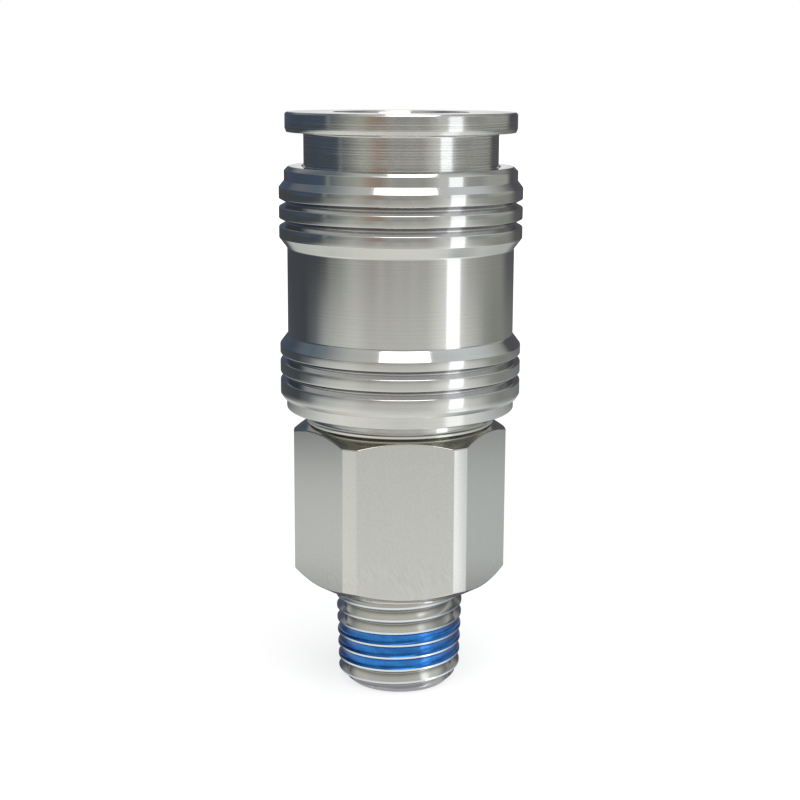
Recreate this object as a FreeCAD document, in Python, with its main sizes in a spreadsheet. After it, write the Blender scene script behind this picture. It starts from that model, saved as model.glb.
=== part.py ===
import FreeCAD, Part
import math
import os
from types import SimpleNamespace

import Sketcher

# Quick coupling socket: a stainless air-line socket with a push-forward release sleeve.
# The axis is +Z, from the thread's free end at z = 0 up to the nose that takes the plug. Millimetres.

doc = FreeCAD.newDocument("QuickCouplingSocket")

# Driving dimensions, piece by piece; a step or a lip is measured on the radius
DRIVING = {
    # adapter: hexagon, male taper pipe thread (1/4 inch, 18 to the inch) and the socket for the barrel
    "thread_length": 11.3,
    "thread_diameter": 13.26,
    "thread_taper": 0.0625,
    "thread_chamfer_width": 1.15,
    "thread_chamfer_height": 1.2,
    "across_flats": 20.64,
    "hex_length": 17.85,
    "hex_corner_allowance": 2.28,
    "hex_face_allowance": 1.44,
    "hex_foot_allowance": 2.64,
    "hex_chamfer_angle": 30,
    "inlet_lip": 0.2,
    "inlet_chamfer": 0.4,
    "socket_depth": 7.15,
    # stop ring between hexagon and sleeve, and the washer at the bottom of the socket
    "ring_thickness": 1.5,
    "ring_lip": 2.45,
    "ring_lip_height": 0.21,
    "ring_cove": 0.3,
    "ring_chamfer": 0.08,
    "washer_thickness": 1.0,
    # release sleeve, outside
    "sleeve_length": 25.6,
    "sleeve_wall": 1.67,
    "end_ring_step": 0.18,
    "end_ring_height": 1.2,
    "end_ring_round": 0.2,
    "rib_height": 0.83,
    "rib_count": 3,
    "rib_pitch": 2.03,
    "rib_land": 1.15,
    "rib_groove_depth": 0.72,
    "rib_groove_side": 0.38,
    "lower_rib_cone": 0.52,
    "lower_band_drop": 0.27,
    "foot_bevel_width": 0.25,
    "foot_bevel_height": 0.42,
    "waist_cone": 1.1,
    "upper_rib_cone": 0.7,
    "collar_step": 0.28,
    "collar_height": 1.0,
    "sleeve_chamfer_width": 0.45,
    "sleeve_chamfer_height": 0.45,
    # release sleeve, inside
    "sleeve_travel": 3.0,
    "sleeve_land": 1.13,
    "sleeve_floor": 2.35,
    "sleeve_lead": 0.3,
    # barrel, outside
    "flange_thickness": 2.05,
    "flange_overhang": 1.925,
    "flange_chamfer": 0.2,
    "flange_bevel_width": 0.16,
    "flange_bevel_height": 0.4,
    "neck_length": 4.15,
    "neck_step": 1.6,
    "ball_tube_drop": 0.399,
    "spring_seat": 1.0,
    "shoulder_web": 1.17,
    "ring_shoulder": 0.6,
    "spigot_wall": 1.2,
    "spigot_chamfer": 0.5,
    # barrel, inside
    "mouth_lead": 0.9,
    "mouth_step": 0.2,
    "mouth_to_balls": 3.8,
    "plug_bore": 12.2,
    "balls_to_stop": 4.8,
    "plug_cone": 1.0,
    "tip_step": 2.0,
    "tip_guide": 1.0,
    "seal_groove_depth": 1.8,
    "seal_groove_width": 2.1,
    "seat_land": 1.3,
    "valve_seat_height": 1.4,
    # locking balls
    "ball_diameter": 3.969,
    "ball_count": 6,
    "ball_protrusion": 1.07,
    "ball_seat_angle": 17,
    # plug seal
    "plug_seal_squeeze": 0.2,
    "plug_seal_width": 1.9,
    "plug_seal_bevel": 0.5,
    # shut-off valve
    "pin_gap": 0.8,
    "pin_length": 3.65,
    "pin_chamfer": 0.4,
    "pin_slot_width": 1.6,
    "pin_slot_depth": 1.5,
    "valve_seal_bevel": 0.75,
    "valve_seal_lap": 0.7,
    "valve_guide_height": 3.35,
    "valve_guide_chamfer": 0.3,
    "flute_count": 4,
    "flute_width": 4.0,
    "flute_depth": 1.1,
    "boss_length": 2.5,
    # springs
    "sleeve_spring_wire": 1.3,
    "sleeve_spring_turns": 3,
    "valve_spring_wire": 0.8,
    "valve_spring_turns": 4,
    "closed_coil_gap": 0.06,
    # fits and clearances
    "running_fit": 0.05,
    "screw_fit": 0.03,
    "sleeve_spring_fit": 0.1,
    "valve_spring_fit": 0.2,
    "valve_spring_room": 0.8,
    "ball_room": 0.23,
    "nose_clearance": 0.5,
    "step_clearance": 0.2,
}

sheet = doc.addObject("Spreadsheet::Sheet", "Sizes")
for row, (alias, number) in enumerate(DRIVING.items(), start=1):
    sheet.set(f"A{row}", alias)
    sheet.set(f"B{row}", str(number))
    sheet.setAlias(f"B{row}", alias)
doc.recompute()


class Size:
    """A length that knows its value and the sheet formula that gives it."""

    def __init__(self, formula, value):
        self.formula = formula
        self.value = value

    def __add__(self, other):
        other = as_size(other)
        return Size(f"({self.formula} + {other.formula})", self.value + other.value)

    def __sub__(self, other):
        other = as_size(other)
        return Size(f"({self.formula} - {other.formula})", self.value - other.value)

    def __mul__(self, other):
        other = as_size(other)
        return Size(f"({self.formula} * {other.formula})", self.value * other.value)

    def __truediv__(self, other):
        other = as_size(other)
        return Size(f"({self.formula} / {other.formula})", self.value / other.value)

    def __neg__(self):
        return as_size(0) - self


def as_size(number):
    if isinstance(number, Size):
        return number
    return Size(str(number), float(number))


def root(size_squared):
    size_squared = as_size(size_squared)
    return Size(f"sqrt({size_squared.formula})", math.sqrt(size_squared.value))


def tangent(degrees):
    return Size(f"tan({degrees.formula} * 1 deg)", math.tan(math.radians(degrees.value)))


def sine(degrees):
    return Size(f"sin({degrees.formula} * 1 deg)", math.sin(math.radians(degrees.value)))


def cosine(degrees):
    return Size(f"cos({degrees.formula} * 1 deg)", math.cos(math.radians(degrees.value)))


size = SimpleNamespace(**{alias: Size(f"Sizes.{alias}", number) for alias, number in DRIVING.items()})
zero = as_size(0)


# Sketches and features

def origin_feature(body, role):
    return next(feature for feature in body.Origin.OriginFeatures if feature.Role == role)


def new_sketch(body, name, plane, lift_axis=None, lift=None):
    """A sketch on one of the body's own planes, lifted along the sketch's own axis if asked."""
    sketch = body.newObject("Sketcher::SketchObject", name)
    sketch.AttachmentSupport = (origin_feature(body, plane), [""])
    sketch.MapMode = "FlatFace"
    if lift_axis:
        sketch.setExpression(f"AttachmentOffset.Base.{lift_axis}", lift.formula)
    return sketch


def arc_between(start, end, radius, turn):
    """The arc from start to end; turn is 1 for anticlockwise and -1 for clockwise."""
    chord = end - start
    middle = (start + end) * 0.5
    aside = FreeCAD.Vector(-chord.y, chord.x, 0).normalize()
    reach = math.sqrt(max(radius ** 2 - chord.Length ** 2 / 4, 0))
    centre = middle + aside * reach * turn
    first, last = (start, end) if turn > 0 else (end, start)
    angles = [math.atan2(point.y - centre.y, point.x - centre.x) for point in (first, last)]
    circle = Part.Circle(centre, FreeCAD.Vector(0, 0, 1), radius)
    return Part.ArcOfCircle(circle, angles[0], angles[1])


def pin_to_axis(sketch, kind, axis, edge, end, place):
    """Hold one coordinate of a corner at its formula, or on the axis where it is zero."""
    if place.value == 0:
        sketch.addConstraint(Sketcher.Constraint("PointOnObject", edge, end, axis))
        return
    index = sketch.addConstraint(Sketcher.Constraint(kind, -1, 1, edge, end, place.value))
    sketch.setExpression(f"Constraints[{index}]", place.formula)


def draw_outline(sketch, corners):
    """A closed outline through (across, up) corners.

    A corner with a radius and a turn goes on to the next one along an arc.
    """
    corners = [tuple(as_size(entry) for entry in corner) for corner in corners]
    points = [FreeCAD.Vector(corner[0].value, corner[1].value, 0) for corner in corners]
    edges = []
    for corner, start, end in zip(corners, points, points[1:] + points[:1]):
        if len(corner) == 2:
            edges.append((sketch.addGeometry(Part.LineSegment(start, end), False), 1, 2))
            continue
        radius, turn = corner[2], corner[3].value
        edge = sketch.addGeometry(arc_between(start, end, radius.value, turn), False)
        edges.append((edge, 1, 2) if turn > 0 else (edge, 2, 1))
    for (edge, start, end), (after, after_start, after_end) in zip(edges, edges[1:] + edges[:1]):
        sketch.addConstraint(Sketcher.Constraint("Coincident", edge, end, after, after_start))
    for corner, (edge, start, end) in zip(corners, edges):
        pin_to_axis(sketch, "DistanceX", -2, edge, start, corner[0])
        pin_to_axis(sketch, "DistanceY", -1, edge, start, corner[1])
        if len(corner) > 2:
            index = sketch.addConstraint(Sketcher.Constraint("Radius", edge, corner[2].value))
            sketch.setExpression(f"Constraints[{index}]", corner[2].formula)


def new_body(label):
    return doc.addObject("PartDesign::Body", label)


def spin(body, kind, name, sketch, axis):
    """A full turn of a sketch about one of its own axes, added or taken away."""
    feature = body.newObject(f"PartDesign::{kind}", name)
    feature.Profile = sketch
    feature.ReferenceAxis = (sketch, [axis])
    feature.Angle = 360
    return feature


def turn_on(body, name, corners):
    """Add a solid of revolution about Z."""
    profile = new_sketch(body, f"{name}_profile", "XZ_Plane")
    draw_outline(profile, corners)
    return spin(body, "Revolution", name, profile, "V_Axis")


def turn_off(body, name, corners):
    """Cut a solid of revolution about Z away."""
    profile = new_sketch(body, f"{name}_profile", "XZ_Plane")
    draw_outline(profile, corners)
    return spin(body, "Groove", name, profile, "V_Axis")


def mill(body, name, corners, height, depth, upward=False):
    """Cut an outline drawn across the axis at a height, down or up by a depth."""
    outline = new_sketch(body, f"{name}_outline", "XY_Plane", "z", height)
    draw_outline(outline, corners)
    pocket = body.newObject("PartDesign::Pocket", name)
    pocket.Profile = outline
    pocket.Reversed = upward
    pocket.setExpression("Length", depth.formula)
    return pocket


def around_axis(body, name, feature, count, angle=360):
    """Repeat a feature about Z."""
    pattern = body.newObject("PartDesign::PolarPattern", name)
    pattern.Originals = [feature]
    pattern.Axis = (origin_feature(body, "Z_Axis"), [""])
    pattern.Angle = angle
    pattern.setExpression("Occurrences", as_size(count).formula)
    body.Tip = pattern


# Radii, outwards from the bore that takes the plug
plug_radius = size.plug_bore / 2
ball_radius = size.ball_diameter / 2
ball_hole_radius = ball_radius + size.running_fit
ball_centre = plug_radius - size.ball_protrusion + ball_radius
ball_tube_radius = ball_centre + ball_radius - size.ball_tube_drop
neck_radius = ball_tube_radius + size.neck_step
spring_chamber_radius = plug_radius + size.ball_diameter + size.ball_room
waist_radius = spring_chamber_radius + size.sleeve_wall

# Radii of the barrel's lower end, inwards from the shoulder that the sleeve's spring pushes on
lower_tube_radius = ball_tube_radius - size.spring_seat
spigot_radius = lower_tube_radius - size.ring_shoulder
valve_chamber_radius = spigot_radius - size.spigot_wall
valve_guide_radius = valve_chamber_radius - size.running_fit
valve_spring_inner = valve_chamber_radius - size.valve_spring_room - size.valve_spring_wire
boss_radius = valve_spring_inner - size.valve_spring_fit
inlet_radius = valve_spring_inner - size.inlet_lip

# Radii about the bore for the plug's tip
tip_radius = plug_radius - size.tip_step
seal_groove_radius = tip_radius + size.seal_groove_depth
pin_radius = tip_radius - size.pin_gap
valve_seal_radius = tip_radius + size.valve_seal_lap

# The locking cone lets a ball out by its protrusion over the sleeve's travel and touches it all the way:
# the point where they touch is this far from the ball's centre, outwards and upwards
cone_slope = size.ball_protrusion / size.sleeve_travel
cone_slant = root(cone_slope * cone_slope + 1)
touch_out = ball_hole_radius / cone_slant
touch_up = ball_hole_radius * cone_slope / cone_slant
sleeve_land_radius = ball_tube_radius + size.running_fit
cone_above_touch = (ball_centre + touch_out - sleeve_land_radius) / cone_slope
cone_below_touch = (spring_chamber_radius - ball_centre - touch_out) / cone_slope

# Heights along the axis: up the outside, then down from the nose
hex_bottom = size.thread_length
hex_top = hex_bottom + size.hex_length
socket_floor = hex_top - size.socket_depth
spigot_end = socket_floor + size.washer_thickness
ring_top = hex_top + size.ring_thickness
sleeve_floor = ring_top + size.sleeve_floor
sleeve_top = ring_top + size.sleeve_length
flange_bottom = sleeve_top + size.sleeve_travel + size.nose_clearance
nose = flange_bottom + size.flange_thickness
neck_end = flange_bottom - size.neck_length
counterbore_floor = neck_end - size.sleeve_travel - size.step_clearance
cone_top = counterbore_floor - size.sleeve_land
cone_bottom = cone_top - cone_above_touch - cone_below_touch
ball_height = cone_top - cone_above_touch - touch_up
spring_shoulder = ball_height - ball_hole_radius - size.shoulder_web
mouth_end = ball_height + size.mouth_to_balls
plug_stop = ball_height - size.balls_to_stop
seal_top = plug_stop - size.plug_cone - size.tip_guide
seal_bottom = seal_top - size.seal_groove_width
valve_seat = seal_bottom - size.seat_land

# The valve's guide stays below its conical seat, and the seal's bevel runs a fit below the cone
seat_slope = size.valve_seat_height / (valve_chamber_radius - tip_radius)
seal_lift = size.running_fit * root(seat_slope * seat_slope + 1)
seal_edge = valve_seat - size.valve_seal_lap * seat_slope - seal_lift
valve_guide_top = valve_seat - size.valve_seat_height
valve_guide_bottom = valve_guide_top - size.valve_guide_height


def make_adapter():
    body = new_body("adapter")
    corner = size.across_flats / root(3)
    flat = size.across_flats / 2
    hexagon = new_sketch(body, "adapter_hexagon", "XY_Plane", "z", hex_bottom)
    draw_outline(hexagon, [
        (corner, zero),
        (corner / 2, flat),
        (-(corner / 2), flat),
        (-corner, zero),
        (-(corner / 2), -flat),
        (corner / 2, -flat),
    ])
    bar = body.newObject("PartDesign::Pad", "adapter_bar")
    bar.Profile = hexagon
    bar.setExpression("Length", size.hex_length.formula)

    # corners turned round, both ends chamfered
    turned = (size.across_flats + size.hex_corner_allowance) / 2
    face = (size.across_flats - size.hex_face_allowance) / 2
    foot = (size.across_flats - size.hex_foot_allowance) / 2
    steepness = tangent(size.hex_chamfer_angle)
    turn_off(body, "adapter_corners", [
        (foot, hex_bottom),
        (size.across_flats, hex_bottom),
        (size.across_flats, hex_top),
        (face, hex_top),
        (turned, hex_top - (turned - face) * steepness),
        (turned, hex_bottom + (turned - foot) * steepness),
    ])

    # plain blank of the taper thread, to its crests
    crest = size.thread_diameter / 2
    slope = size.thread_taper / 2
    turn_on(body, "adapter_thread", [
        (zero, zero),
        (crest - size.thread_chamfer_width, zero),
        (crest + slope * size.thread_chamfer_height, size.thread_chamfer_height),
        (crest + slope * hex_bottom, hex_bottom),
        (zero, hex_bottom),
    ])

    # air way, and the threaded socket that takes the barrel
    socket_radius = spigot_radius + size.screw_fit
    turn_off(body, "adapter_bore", [
        (zero, zero),
        (inlet_radius + size.inlet_chamfer, zero),
        (inlet_radius, size.inlet_chamfer),
        (inlet_radius, socket_floor),
        (socket_radius, socket_floor),
        (socket_radius, hex_top),
        (zero, hex_top),
    ])
    return body


def make_stop_ring():
    body = new_body("stop_ring")
    inner = spigot_radius + size.running_fit
    lip = lower_tube_radius + size.ring_lip
    wall = lip - size.ring_cove
    lip_top = hex_top + size.ring_chamfer + size.ring_lip_height
    turn_on(body, "stop_ring_turning", [
        (inner, hex_top),
        (lip - size.ring_chamfer, hex_top),
        (lip, hex_top + size.ring_chamfer),
        (lip, lip_top, size.ring_cove, -1),
        (wall, lip_top + size.ring_cove),
        (wall, ring_top),
        (inner, ring_top),
    ])
    return body


def ball_hole_outline():
    """Half section of a ball's hole along its own axis: straight, with a conical seat at its inner end."""
    inner = ball_centre - ball_radius
    outer = neck_radius
    bend = ball_centre - ball_hole_radius * tangent(size.ball_seat_angle / 2)
    lean = sine(size.ball_seat_angle)
    mouth = (ball_hole_radius - (ball_centre - inner) * lean) / cosine(size.ball_seat_angle)
    return [
        (inner, zero),
        (outer, zero),
        (outer, ball_hole_radius),
        (bend, ball_hole_radius),
        (inner, mouth),
    ]


def make_socket_body():
    body = new_body("socket_body")
    flange = neck_radius + size.flange_overhang
    mouth = plug_radius + size.mouth_step
    turn_on(body, "socket_body_turning", [
        (valve_chamber_radius, spigot_end),
        (spigot_radius - size.spigot_chamfer, spigot_end),
        (spigot_radius, spigot_end + size.spigot_chamfer),
        (spigot_radius, ring_top),
        (lower_tube_radius, ring_top),
        (lower_tube_radius, spring_shoulder),
        (ball_tube_radius, spring_shoulder),
        (ball_tube_radius, neck_end),
        (neck_radius, neck_end),
        (neck_radius, flange_bottom),
        (flange - size.flange_bevel_width, flange_bottom),
        (flange, flange_bottom + size.flange_bevel_height),
        (flange, nose - size.flange_chamfer),
        (flange - size.flange_chamfer, nose),
        (mouth + size.mouth_lead, nose),
        (mouth, nose - size.mouth_lead),
        (mouth, mouth_end),
        (plug_radius, mouth_end - size.mouth_step),
        (plug_radius, plug_stop),
        (tip_radius, plug_stop - size.plug_cone),
        (tip_radius, seal_top),
        (seal_groove_radius, seal_top),
        (seal_groove_radius, seal_bottom),
        (tip_radius, seal_bottom),
        (tip_radius, valve_seat),
        (valve_chamber_radius, valve_seat - size.valve_seat_height),
    ])
    hole_profile = new_sketch(body, "socket_body_ball_hole_profile", "XZ_Plane", "y", ball_height)
    draw_outline(hole_profile, ball_hole_outline())
    hole = spin(body, "Groove", "socket_body_ball_hole", hole_profile, "H_Axis")
    around_axis(body, "socket_body_ball_holes", hole, size.ball_count)
    return body


def rib_outline(bottom, drop):
    """The ribs of one grip band, upwards; its outer edges lie lower than its grooves by a drop."""
    crest = waist_radius + size.rib_height
    floor = crest - size.rib_groove_depth
    last = int(size.rib_count.value) - 1
    corners = [(crest, bottom - drop)]
    for rib in range(last):
        low = bottom + size.rib_pitch * rib + size.rib_land
        high = bottom + size.rib_pitch * (rib + 1)
        corners.append((crest, low))
        corners.append((floor, low + size.rib_groove_side))
        corners.append((floor, high - size.rib_groove_side))
        corners.append((crest, high))
    corners.append((crest, bottom + size.rib_pitch * last + size.rib_land - drop))
    return corners


def make_release_sleeve():
    body = new_body("release_sleeve")
    end_ring = waist_radius + size.end_ring_step
    collar = waist_radius + size.collar_step
    collar_top = sleeve_top - size.sleeve_chamfer_height
    collar_bottom = collar_top - size.collar_height
    band_height = size.rib_pitch * (size.rib_count - 1) + size.rib_land
    drop = size.lower_band_drop
    lower_band = ring_top + size.end_ring_height + size.lower_rib_cone + drop
    foot_edge = waist_radius + size.rib_height - size.foot_bevel_width
    upper_band = collar_bottom - size.upper_rib_cone - band_height
    counterbore = neck_radius + size.running_fit
    guide = lower_tube_radius + size.running_fit
    turn_on(body, "release_sleeve_turning", [
        (guide, ring_top),
        (end_ring - size.end_ring_round, ring_top, size.end_ring_round, 1),
        (end_ring, ring_top + size.end_ring_round),
        (end_ring, ring_top + size.end_ring_height),
        (foot_edge, lower_band - drop - size.foot_bevel_height),
        *rib_outline(lower_band, drop),
        (waist_radius, lower_band + band_height - drop + size.waist_cone),
        (waist_radius, upper_band - size.waist_cone),
        *rib_outline(upper_band, zero),
        (collar, collar_bottom),
        (collar, collar_top),
        (collar - size.sleeve_chamfer_width, sleeve_top),
        (counterbore + size.sleeve_lead, sleeve_top),
        (counterbore, sleeve_top - size.sleeve_lead),
        (counterbore, counterbore_floor),
        (sleeve_land_radius, counterbore_floor),
        (sleeve_land_radius, cone_top),
        (spring_chamber_radius, cone_bottom),
        (spring_chamber_radius, sleeve_floor),
        (guide, sleeve_floor),
    ])
    return body


def make_locking_ball(number):
    ball = doc.addObject("Part::Sphere", f"locking_ball_{number}")
    ball.setExpression("Radius", ball_radius.formula)
    bearing = as_size(360 * (number - 1)) / size.ball_count
    ball.setExpression("Placement.Base.x", (ball_centre * cosine(bearing)).formula)
    ball.setExpression("Placement.Base.y", (ball_centre * sine(bearing)).formula)
    ball.setExpression("Placement.Base.z", ball_height.formula)
    return ball


def make_plug_seal():
    """Moulded ring in the barrel's groove, bevelled both ways for the plug's tip."""
    body = new_body("plug_seal")
    outer = seal_groove_radius - size.running_fit
    inner = tip_radius - size.plug_seal_squeeze
    middle = (seal_top + seal_bottom) / 2
    bottom = middle - size.plug_seal_width / 2
    top = middle + size.plug_seal_width / 2
    turn_on(body, "plug_seal_moulding", [
        (inner + size.plug_seal_bevel, bottom),
        (outer, bottom),
        (outer, top),
        (inner + size.plug_seal_bevel, top),
        (inner, top - size.plug_seal_bevel),
        (inner, bottom + size.plug_seal_bevel),
    ])
    return body


def make_valve_poppet():
    body = new_body("valve_poppet")
    boss_end = valve_guide_bottom - size.boss_length
    pin_top = valve_guide_top + size.pin_length
    turn_on(body, "valve_poppet_turning", [
        (zero, boss_end),
        (boss_radius, boss_end),
        (boss_radius, valve_guide_bottom),
        (valve_guide_radius, valve_guide_bottom),
        (valve_guide_radius, valve_guide_top - size.valve_guide_chamfer),
        (valve_guide_radius - size.valve_guide_chamfer, valve_guide_top),
        (pin_radius, valve_guide_top),
        (pin_radius, pin_top - size.pin_chamfer),
        (pin_radius - size.pin_chamfer, pin_top),
        (zero, pin_top),
    ])
    # air passes the guide through flutes, and the pin through crossed slots
    flute_floor = valve_guide_radius - size.flute_depth
    half_flute = size.flute_width / 2
    flute = mill(body, "valve_poppet_flute", [
        (flute_floor, -half_flute),
        (spigot_radius, -half_flute),
        (spigot_radius, half_flute),
        (flute_floor, half_flute),
    ], valve_guide_bottom, size.valve_guide_height, upward=True)
    around_axis(body, "valve_poppet_flutes", flute, size.flute_count)
    half_slot = size.pin_slot_width / 2
    slot = mill(body, "valve_poppet_slot", [
        (-tip_radius, -half_slot),
        (tip_radius, -half_slot),
        (tip_radius, half_slot),
        (-tip_radius, half_slot),
    ], pin_top, size.pin_slot_depth)
    around_axis(body, "valve_poppet_slots", slot, 2, angle=90)
    return body


def make_valve_seal():
    """Ring round the poppet's pin, bevelled to the slope of the barrel's seat."""
    body = new_body("valve_seal")
    inner = pin_radius + size.screw_fit
    top = seal_edge + size.valve_seal_bevel
    turn_on(body, "valve_seal_moulding", [
        (inner, valve_guide_top),
        (valve_seal_radius, valve_guide_top),
        (valve_seal_radius, seal_edge),
        (valve_seal_radius - size.valve_seal_bevel / seat_slope, top),
        (inner, top),
    ])
    return body


def make_body_seal():
    body = new_body("body_seal")
    outer = spigot_radius - size.spigot_chamfer
    turn_on(body, "body_seal_turning", [
        (valve_chamber_radius, socket_floor),
        (outer, socket_floor),
        (outer, spigot_end),
        (valve_chamber_radius, spigot_end),
    ])
    return body


def make_spring(label, inner, wire, turns, bottom, top):
    """Compression spring between two seats: a closed coil at each end, ground flat."""
    body = new_body(label)
    closed_pitch = wire + size.closed_coil_gap
    middle_pitch = (top - bottom - closed_pitch * 2) / turns
    coils = (
        ("lower_coil", bottom, closed_pitch, as_size(1)),
        ("coils", bottom + closed_pitch, middle_pitch, turns),
        ("upper_coil", top - closed_pitch, closed_pitch, as_size(1)),
    )
    half = wire / 2
    side = inner + half
    for name, start, pitch, turn_count in coils:
        section = new_sketch(body, f"{label}_{name}_section", "XZ_Plane")
        draw_outline(section, [
            (side + half * cosine(as_size(60 * step)), start + half * sine(as_size(60 * step)))
            for step in range(6)
        ])
        helix = body.newObject("PartDesign::AdditiveHelix", f"{label}_{name}")
        helix.Profile = section
        helix.ReferenceAxis = (section, ["V_Axis"])
        helix.Mode = "pitch-turns-angle"
        helix.setExpression("Pitch", pitch.formula)
        helix.setExpression("Turns", turn_count.formula)
    square = inner + wire * 2
    end_outline = [(-square, -square), (square, -square), (square, square), (-square, square)]
    mill(body, f"{label}_lower_end", end_outline, bottom, wire)
    mill(body, f"{label}_upper_end", end_outline, top, wire, upward=True)
    return body


pieces = [
    make_adapter(),
    make_stop_ring(),
    make_socket_body(),
    make_release_sleeve(),
    make_plug_seal(),
    make_valve_poppet(),
    make_valve_seal(),
    make_body_seal(),
    make_spring("sleeve_spring", lower_tube_radius + size.sleeve_spring_fit, size.sleeve_spring_wire,
                size.sleeve_spring_turns, sleeve_floor, spring_shoulder),
    make_spring("valve_spring", valve_spring_inner, size.valve_spring_wire,
                size.valve_spring_turns, socket_floor, valve_guide_bottom),
]
pieces += [make_locking_ball(number) for number in range(1, int(size.ball_count.value) + 1)]
doc.recompute()

# Nothing is written unless every feature and every piece is sound
for item in doc.Objects:
    if "Invalid" in item.State or "Error" in item.State:
        raise RuntimeError(f"{item.Label} failed: {item.State}")
for piece in pieces:
    if piece.Shape.isNull() or not piece.Shape.isValid() or len(piece.Shape.Solids) != 1:
        raise RuntimeError(f"{piece.Label} is not one sound solid")

os.makedirs("parts", exist_ok=True)
for piece in pieces:
    piece.Shape.exportStep(f"parts/{piece.Label}.step")
    print(piece.Label, round(piece.Shape.Volume, 2), "mm3")
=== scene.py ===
import math

import bpy
import bmesh
from mathutils import Matrix, Vector


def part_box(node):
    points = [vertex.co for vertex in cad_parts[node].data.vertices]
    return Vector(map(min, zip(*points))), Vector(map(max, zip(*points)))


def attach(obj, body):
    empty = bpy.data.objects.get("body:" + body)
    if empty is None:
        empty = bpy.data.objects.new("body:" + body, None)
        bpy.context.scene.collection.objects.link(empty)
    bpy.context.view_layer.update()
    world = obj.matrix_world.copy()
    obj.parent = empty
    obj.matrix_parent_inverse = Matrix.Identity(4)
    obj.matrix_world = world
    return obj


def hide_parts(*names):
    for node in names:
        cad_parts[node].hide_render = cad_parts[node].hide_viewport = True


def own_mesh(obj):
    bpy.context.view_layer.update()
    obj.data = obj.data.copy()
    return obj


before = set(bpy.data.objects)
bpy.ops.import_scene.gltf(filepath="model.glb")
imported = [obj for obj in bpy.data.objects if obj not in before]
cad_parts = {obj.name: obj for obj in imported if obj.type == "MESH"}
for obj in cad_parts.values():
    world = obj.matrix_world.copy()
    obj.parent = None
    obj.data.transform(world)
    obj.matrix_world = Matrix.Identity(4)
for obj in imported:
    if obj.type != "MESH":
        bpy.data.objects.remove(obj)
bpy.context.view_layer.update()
mm = 0.001
turn = 2 * math.pi
print("frame loaded:", len(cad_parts), "nodes")


# Shader wiring: sums on wires add Math nodes

class Wire:
    def __init__(self, shade, socket):
        self.shade = shade
        self.socket = socket

    def sum(self, operation, first, second):
        return self.shade.node("ShaderNodeMath", {"operation": operation}, {0: first, 1: second})

    def __add__(self, other):
        return self.sum("ADD", self, other)

    def __radd__(self, other):
        return self.sum("ADD", other, self)

    def __sub__(self, other):
        return self.sum("SUBTRACT", self, other)

    def __rsub__(self, other):
        return self.sum("SUBTRACT", other, self)

    def __mul__(self, other):
        return self.sum("MULTIPLY", self, other)

    def __rmul__(self, other):
        return self.sum("MULTIPLY", other, self)

    def __truediv__(self, other):
        return self.sum("DIVIDE", self, other)

    def __rtruediv__(self, other):
        return self.sum("DIVIDE", other, self)

    def __pow__(self, other):
        return self.sum("POWER", self, other)

    def __rpow__(self, other):
        return self.sum("POWER", other, self)


class Shade:
    def __init__(self, tree):
        self.tree = tree
        tree.nodes.clear()

    def node(self, kind, settings=None, inputs=None, out=0):
        made = self.tree.nodes.new(kind)
        for name, value in (settings or {}).items():
            if name == "stops":
                self.setStops(made.color_ramp, value)
            else:
                setattr(made, name, value)
        for name, value in (inputs or {}).items():
            if isinstance(value, Wire):
                self.tree.links.new(value.socket, made.inputs[name])
            else:
                made.inputs[name].default_value = value
        return Wire(self, made.outputs[out]) if made.outputs else None

    def setStops(self, ramp, stops):
        ramp.elements[0].position = stops[0][0]
        ramp.elements[1].position = stops[-1][0]
        for place, colour in stops[1:-1]:
            ramp.elements.new(place)
        for element, (place, colour) in zip(ramp.elements, stops):
            element.color = (*colour, 1)

    def position(self):
        place = self.node("ShaderNodeTexCoord", out="Object")
        return [self.node("ShaderNodeSeparateXYZ", {}, {0: place}, out=i) for i in range(3)]

    def span(self, value, low, high, toLow=0.0, toHigh=1.0):
        inputs = {"Value": value, "From Min": low, "From Max": high, "To Min": toLow, "To Max": toHigh}
        return self.node("ShaderNodeMapRange", {"interpolation_type": "SMOOTHSTEP"}, inputs)

    def blend(self, amount, first, second):
        inputs = {0: amount, 6: first, 7: second}  # a Mix node's factor and its two colours
        return self.node("ShaderNodeMix", {"data_type": "RGBA"}, inputs, out=2)

    def tone(self, amount, look):
        # from the dark to the pale colour of a finish
        return self.blend(amount, (*look["dark"], 1), (*look["pale"], 1))

    def noise(self, place, scale, detail=2.0, rough=0.5, kind="3D"):
        inputs = {"Scale": scale, "Detail": detail, "Roughness": rough}
        inputs["W" if kind == "1D" else "Vector"] = place
        return self.node("ShaderNodeTexNoise", {"noise_dimensions": kind}, inputs)

    def vector(self, x, y, z):
        return self.node("ShaderNodeCombineXYZ", {}, {0: x, 1: y, 2: z})

    def bump(self, height, strength, distance):
        inputs = {"Height": height, "Strength": strength, "Distance": distance}
        return self.node("ShaderNodeBump", {}, inputs)

    def surface(self, inputs):
        skin = self.node("ShaderNodeBsdfPrincipled", {}, inputs)
        self.node("ShaderNodeOutputMaterial", {}, {"Surface": skin})


def newFinish(name):
    finish = bpy.data.materials.new(name)
    finish.use_nodes = True
    return finish, Shade(finish.node_tree)


# Turned steel: lengths in mm, noise scales per metre

turning = {
    "slant": 0.37,  # lines run up walls and across end faces alike
    "lineScale": 1.7,  # per line pitch
    "lineDetail": 1.5,
    "lineRough": 0.55,
    "driftScale": 140.0,
    "driftSquash": 3,
    "hairScale": 9000.0,
    "hairStretch": 0.25,
    "lineTone": 0.6,
    "hairTone": 0.4,
    "toneFrom": 0.25,
    "toneTo": 0.75,
}


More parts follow.
